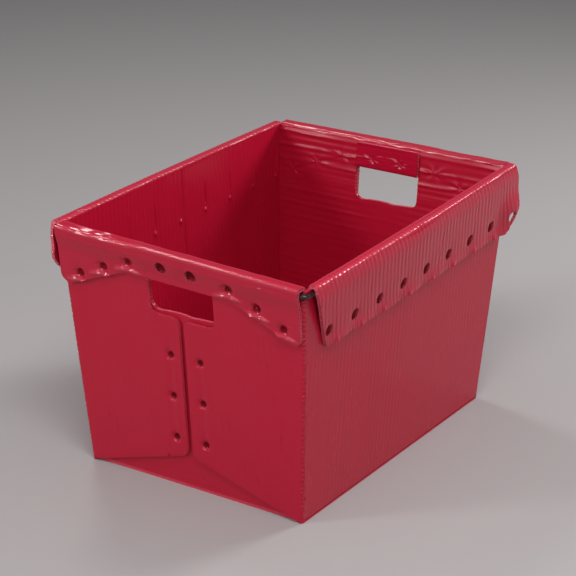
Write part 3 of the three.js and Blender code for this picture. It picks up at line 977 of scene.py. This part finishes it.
def all_welds(material):
    for wall in ("left", "right"):
        for i, (name, u, z) in enumerate(weld_places("weld_rim_" + wall)):
            weld(name, wall, u, z, PUNCH_RADIUS + 0.3, SIDE_BASE, SIDE_SLOPE, 1.6, material, i)
    for wall in ("front", "back"):
        for i, (name, u, z) in enumerate(weld_places("weld_rim_" + wall)):
            radius = PIT_RADIUS + 0.8 if is_dimple(u) else PUNCH_RADIUS + 0.3
            weld(name, wall, u, z, radius, SHELL_BASE, END_SLOPE, 1.4, material, i + 8)
        for i, (name, u, z) in enumerate(weld_places("weld_flap_" + wall)):
            weld(name, wall, u, z, PIT_RADIUS + 0.4, END_BASE, END_SLOPE, 1.6, material, i + 16)


# ------------------------------ materials

class Nodes:
    """A short way to write a material's nodes."""

    def __init__(self, name):
        self.material = bpy.data.materials.new(name)
        self.material.use_nodes = True
        self.tree = self.material.node_tree
        self.shader = self.tree.nodes["Principled BSDF"]

    def add(self, kind, settings=None, **inputs):
        node = self.tree.nodes.new(kind)
        for key, value in (settings or {}).items():
            setattr(node, key, value)
        for key, value in inputs.items():
            self.link(node, key.replace("_", " "), value)
        return node

    def link(self, node, key, value):
        socket = node.inputs[int(key)] if key.isdigit() else node.inputs[key]
        if isinstance(value, bpy.types.NodeSocket):
            self.tree.links.new(value, socket)
        else:
            socket.default_value = value

    def math(self, operation, a, b=0.0):
        node = self.tree.nodes.new("ShaderNodeMath")
        node.operation = operation
        self.link(node, "0", a)
        self.link(node, "1", b)
        return node.outputs[0]

    def mix(self, share, a, b):
        node = self.tree.nodes.new("ShaderNodeMix")
        node.data_type = "RGBA"
        self.link(node, "0", share)
        self.link(node, "6", a)
        self.link(node, "7", b)
        return node.outputs[2]

    def stretched_noise(self, across, along, detail=2.0):
        """Noise over the board, with its own scale across and along the flutes."""
        uv = self.add("ShaderNodeUVMap", {"uv_map": "board"}).outputs["UV"]
        scaled = self.add("ShaderNodeMapping", Vector=uv, Scale=(across, along, 1)).outputs["Vector"]
        return self.add("ShaderNodeTexNoise", Vector=scaled, Scale=1.0, Detail=detail).outputs["Fac"]

    def mark(self, name):
        return self.add("ShaderNodeAttribute", {"attribute_name": name}).outputs["Fac"]

    def spread(self, value, low, high, start, end):
        node = self.add("ShaderNodeMapRange", Value=value)
        for key, number in (("From Min", low), ("From Max", high), ("To Min", start), ("To Max", end)):
            node.inputs[key].default_value = number
        return node.outputs["Result"]


def plastic(name, tones, gloss, flute_shade, sheen=0.3):
    """Red polypropylene board: flute shadows, drawn streaks, pale crushed folds and cut edges.
    The tones are deep, bright and pale; gloss is the least and greatest roughness."""
    n = Nodes(name)
    deep, bright, pale = tones
    uv = n.add("ShaderNodeUVMap", {"uv_map": "board"}).outputs["UV"]
    across = n.add("ShaderNodeSeparateXYZ", Vector=uv).outputs["X"]
    # Painted shade: the tone swings between deep and bright once every two flutes, as the flutes' shading
    # would.
    turn = n.math("MULTIPLY", across, 2 * math.pi * 100 / PUCKER)
    flute_shade_wave = n.spread(n.math("COSINE", turn), -1, 1, 0, 1)
    streaks = n.stretched_noise(60, 1.2)
    patches = n.stretched_noise(2.2, 1.6, 3)
    tone = n.math("ADD", n.math("MULTIPLY", flute_shade_wave, flute_shade), n.math("MULTIPLY", streaks, 0.1))
    tone = n.math("ADD", tone, n.math("MULTIPLY", patches, 0.4))
    colour = n.mix(n.spread(tone, 0.2, 0.85, 0, 1), (*deep, 1), (*bright, 1))
    # The cut mark is lower in the set-back rows of an edge, so the open flute cells get less pale: painted
    # shade.
    crushed, cut = n.math("MULTIPLY", n.mark("crush"), 0.16), n.math("MULTIPLY", n.mark("cut"), 0.5)
    pale_share = n.math("ADD", crushed, cut)
    colour = n.mix(n.math("MINIMUM", pale_share, 0.6), colour, (*pale, 1))
    n.link(n.shader, "Base Color", colour)
    rough = n.spread(n.math("ADD", streaks, patches), 0.6, 1.4, gloss[0], gloss[1])
    n.link(n.shader, "Roughness", n.math("SUBTRACT", rough, n.math("MULTIPLY", n.mark("crush"), 0.06)))
    fine = n.stretched_noise(260, 9, 2)
    bump = n.add("ShaderNodeBump", Height=fine, Strength=0.07, Distance=0.0004)
    n.link(n.shader, "Normal", bump.outputs["Normal"])
    n.shader.inputs["IOR"].default_value = 1.5
    n.shader.inputs["Specular IOR Level"].default_value = sheen
    return n.material


def black_wire():
    n = Nodes("black_coated_wire")
    wear = n.stretched_noise(40, 40, 4)
    colour = n.mix(n.spread(wear, 0.45, 0.75, 0, 1), (0.006, 0.006, 0.007, 1), (0.03, 0.03, 0.032, 1))
    n.link(n.shader, "Base Color", colour)
    n.link(n.shader, "Roughness", n.spread(wear, 0.3, 0.8, 0.2, 0.42))
    bump = n.add("ShaderNodeBump", Height=wear, Strength=0.2, Distance=0.0003)
    n.link(n.shader, "Normal", bump.outputs["Normal"])
    return n.material


# ------------------------------ floor, light and camera

def stage():
    n = Nodes("pale_paper")
    grain = n.add("ShaderNodeTexNoise", Scale=3.0, Detail=3.0).outputs["Fac"]
    colour = n.mix(grain, (0.405, 0.38, 0.38, 1), (0.435, 0.41, 0.41, 1))
    n.link(n.shader, "Base Color", colour)
    n.shader.inputs["Roughness"].default_value = 0.75
    n.shader.inputs["Specular IOR Level"].default_value = 0.2
    mesh = bpy.data.meshes.new("floor")
    reach = 7.0
    mesh.from_pydata([(-reach, -reach, 0), (reach, -reach, 0), (reach, reach, 0), (-reach, reach, 0)], [],
                     [(0, 1, 2, 3)])
    mesh.materials.append(n.material)
    floor = bpy.data.objects.new("floor", mesh)
    bpy.context.scene.collection.objects.link(floor)


def softbox(name, at, aim, size, power, roll=0):
    lamp = bpy.data.lights.new(name, "AREA")
    lamp.shape = "RECTANGLE"
    lamp.size, lamp.size_y = size
    lamp.energy = power
    light = bpy.data.objects.new(name, lamp)
    light.location = at
    turn = (Vector(aim) - Vector(at)).to_track_quat("-Z", "Y").to_matrix().to_4x4()
    light.rotation_euler = (turn @ Matrix.Rotation(math.radians(roll), 4, "Z")).to_euler()
    bpy.context.scene.collection.objects.link(light)


def lights():
    world = bpy.data.worlds.new("studio")
    bpy.context.scene.world = world
    world.use_nodes = True
    background = world.node_tree.nodes["Background"].inputs
    background["Color"].default_value = (0.95, 0.96, 1.0, 1)
    background["Strength"].default_value = 0.16
    softbox("overhead", (0.1, 0.0, 1.85), (0, 0, 0.1), (1.5, 1.3), 3.2)
    softbox("floor_pool", (0.55, -0.8, 1.4), (0.45, -0.65, 0), (0.6, 0.6), 12)
    softbox("crest_key", (-1.04, 0.6, 1.72), (0, 0, 0.2), (0.36, 0.36), 8)
    softbox("back_strip", (0.8, 1.47, 1.13), (0.17, 0, 0.3), (0.65, 0.42), 19, roll=42)
    softbox("front_key", (-1.2, -1.75, 1.25), (0, 0, 0.2), (0.42, 0.42), 13.5)
    softbox("front_fill", (-0.9, -2.2, 0.6), (0, 0, 0.15), (1.6, 0.8), 10)
    softbox("right_fill", (2.2, -0.4, 0.45), (0, 0, 0.15), (1.6, 0.7), 7)
    bpy.context.scene.view_settings.view_transform = "Standard"
    bpy.context.scene.view_settings.look = "None"


CAMERA_AIM = Vector((-0.02832, 0.03607, 0.16310))
CAMERA_DISTANCE = 2.7
CAMERA_AZIMUTH = math.radians(33.13)
CAMERA_ELEVATION = math.radians(22.25)
CAMERA_ROLL = math.radians(0.32)
CAMERA_LENS = 140.43


def camera():
    data = bpy.data.cameras.new("camera")
    data.lens = CAMERA_LENS
    data.sensor_width = 36
    made = bpy.data.objects.new("camera", data)
    level = math.cos(CAMERA_ELEVATION)
    away = Vector((math.sin(CAMERA_AZIMUTH) * level, -math.cos(CAMERA_AZIMUTH) * level,
                   math.sin(CAMERA_ELEVATION)))
    made.location = CAMERA_AIM + away * CAMERA_DISTANCE
    turn = (-away).to_track_quat("-Z", "Y").to_matrix().to_4x4()
    made.rotation_euler = (turn @ Matrix.Rotation(CAMERA_ROLL, 4, "Z")).to_euler()
    bpy.context.scene.collection.objects.link(made)
    bpy.context.scene.camera = made


# ------------------------------ the tote

def build():
    board_tones = ((0.45, 0.006, 0.030), (0.53, 0.008, 0.037), (0.78, 0.12, 0.18))
    rim_tones = ((0.43, 0.006, 0.030), (0.55, 0.008, 0.041), (0.88, 0.24, 0.31))
    # The welds' tones are far darker than the board's: painted shade of the deep holes that the cups sit
    # in.
    shaded_weld_tones = ((0.13, 0.001, 0.005), (0.26, 0.003, 0.012), (0.45, 0.03, 0.06))
    side_red = plastic("side_red_board", board_tones, gloss=(0.2, 0.3), flute_shade=0.3)
    end_red = plastic("end_red_board", board_tones, gloss=(0.26, 0.36), flute_shade=0.05)
    folded_red = plastic("folded_red_board", rim_tones, gloss=(0.07, 0.12), flute_shade=0.5, sheen=0.4)
    smooth_red = plastic("smooth_red_board", rim_tones, gloss=(0.05, 0.11), flute_shade=0.06, sheen=0.38)
    shaded_weld_red = plastic("fused_red_with_painted_shade", shaded_weld_tones, gloss=(0.40, 0.50), flute_shade=0.2, sheen=0.08)
    bottom(end_red)
    for wall in ("left", "right"):
        side_wall(wall, side_red)
        side_rim(wall, folded_red)
    for wall in ("front", "back"):
        end_wall(wall, end_red)
        end_rim(wall, smooth_red)
        handle_tab(wall, smooth_red)
        for side in ("left", "right"):
            corner_flap(wall, side, end_red)
    wire(black_wire())
    all_welds(shaded_weld_red)


camera()
build()
stage()
lights()
